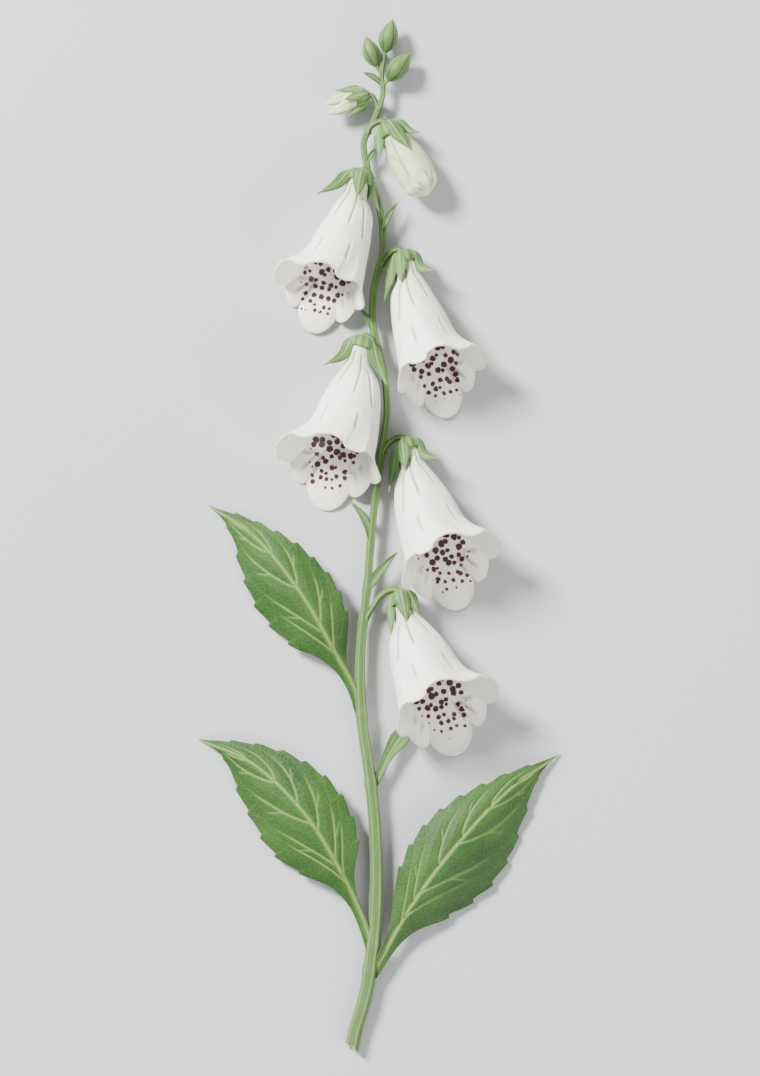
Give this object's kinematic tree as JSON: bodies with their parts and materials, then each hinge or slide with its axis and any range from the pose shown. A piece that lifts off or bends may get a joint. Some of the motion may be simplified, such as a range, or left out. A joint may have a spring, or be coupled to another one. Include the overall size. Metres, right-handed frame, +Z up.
{
  "type": "foxglove flower spike",
  "caption": "Cut foxglove spike lying on its side: S-curved stem, drooping spotted bells with lobed lips, drooping and tight buds, narrow bracts and saw-toothed leaves.",
  "frame": {"origin": "middle of the spike in X and Y, on the surface that it lies on, at the bottom of its bounding box", "axes": "+Y along the stem from the cut end to the top, +Z up from the surface, +X to the right seen from above"},
  "size_m": [0.1103, 0.3142, 0.026],
  "materials": {
    "stem": "fine short down",
    "calyx": "matt, downy",
    "petal": "soft satin",
    "stamen": "matt, dusty anthers",
    "leaf": "matt, veined and wrinkled",
    "bud": "soft satin"
  },
  "bodies": {
    "root": {"bract_1": "calyx", "bract_2": "calyx", "bract_3": "calyx", "bract_4": "calyx", "bract_5": "calyx", "bract_6": "calyx", "bract_7": "calyx", "flower_1_calyx": "calyx", "flower_1_corolla": "petal", "flower_1_pistil": "bud", "flower_1_stamens": "stamen", "flower_2_calyx": "calyx", "flower_2_corolla": "petal", "flower_2_pistil": "bud", "flower_2_stamens": "stamen", "flower_3_calyx": "calyx", "flower_3_corolla": "petal", "flower_3_pistil": "bud", "flower_3_stamens": "stamen", "flower_4_calyx": "calyx", "flower_4_corolla": "petal", "flower_4_pistil": "bud", "flower_4_stamens": "stamen", "flower_5_calyx": "calyx", "flower_5_corolla": "petal", "flower_5_pistil": "bud", "flower_5_stamens": "stamen", "leaf_lower_left": "leaf", "leaf_lower_right": "leaf", "leaf_upper_left": "leaf", "left_bud_calyx": "calyx", "left_bud_petals": "bud", "right_bud_calyx": "calyx", "right_bud_petals": "bud", "stem": "stem", "top_bud_left": "bud", "top_bud_middle": "bud", "top_bud_right": "bud"}
  },
  "joints": []
}
